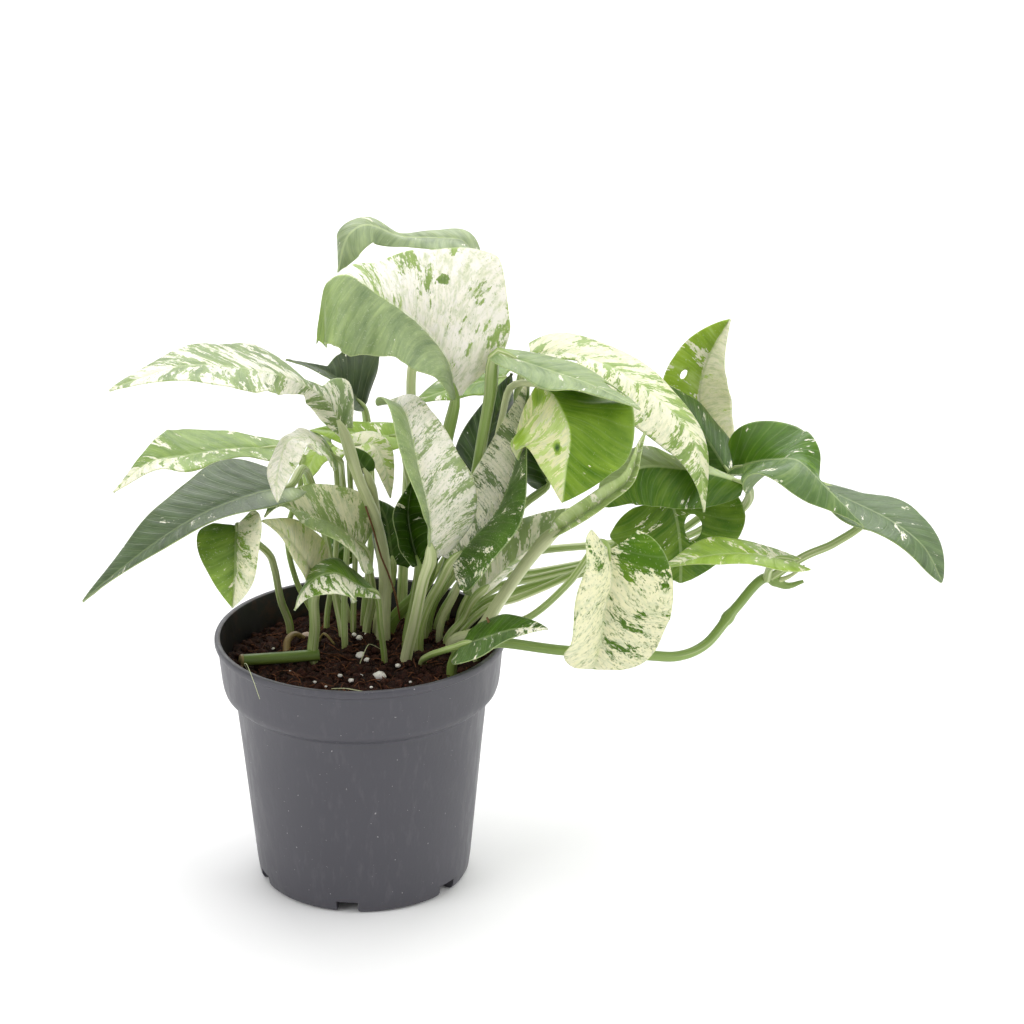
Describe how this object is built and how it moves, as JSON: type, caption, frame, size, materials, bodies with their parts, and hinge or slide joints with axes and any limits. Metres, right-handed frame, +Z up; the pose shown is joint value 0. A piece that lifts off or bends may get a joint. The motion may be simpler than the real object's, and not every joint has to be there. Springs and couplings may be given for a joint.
{
  "type": "potted pothos",
  "caption": "Variegated marble pothos in a small dark nursery pot: marbled heart-shaped leaves on slender stalks, with a vine trailing over the rim.",
  "frame": {"origin": "centre of the pot's base, on the floor", "axes": "+Z up, +X along the plant's longest side, towards the trailing vine, -Y to the front of the plant"},
  "size_m": [0.2434, 0.1015, 0.1893],
  "materials": {
    "leaf": "satin",
    "pot_plastic": "satin",
    "peat": "matte",
    "pebble": "matte",
    "perlite": "matte"
  },
  "bodies": {
    "root": {"cutting": "leaf", "leaf_a1": "leaf", "leaf_a10": "leaf", "leaf_a11": "leaf", "leaf_a12": "leaf", "leaf_a13": "leaf", "leaf_a14": "leaf", "leaf_a15": "leaf", "leaf_a2": "leaf", "leaf_a3": "leaf", "leaf_a4": "leaf", "leaf_a5": "leaf", "leaf_a6": "leaf", "leaf_a8": "leaf", "leaf_a9": "leaf", "leaf_b1": "leaf", "leaf_b2": "leaf", "leaf_b3": "leaf", "leaf_b4": "leaf", "leaf_b5": "leaf", "leaf_b6": "leaf", "leaf_b7": "leaf", "leaf_c1": "leaf", "leaf_c2": "leaf", "leaf_c3": "leaf", "leaf_c4": "leaf", "leaf_c5": "leaf", "leaf_c6": "leaf", "leaf_d1": "leaf", "leaf_d2": "leaf", "leaf_e1": "leaf", "leaf_e3": "leaf", "leaf_f1": "leaf", "leaf_g1": "leaf", "leaf_h1": "leaf", "pebble": "pebble", "perlite_front": "perlite", "perlite_mid": "perlite", "pot": "pot_plastic", "soil": "peat", "vine": "leaf"}
  },
  "joints": []
}
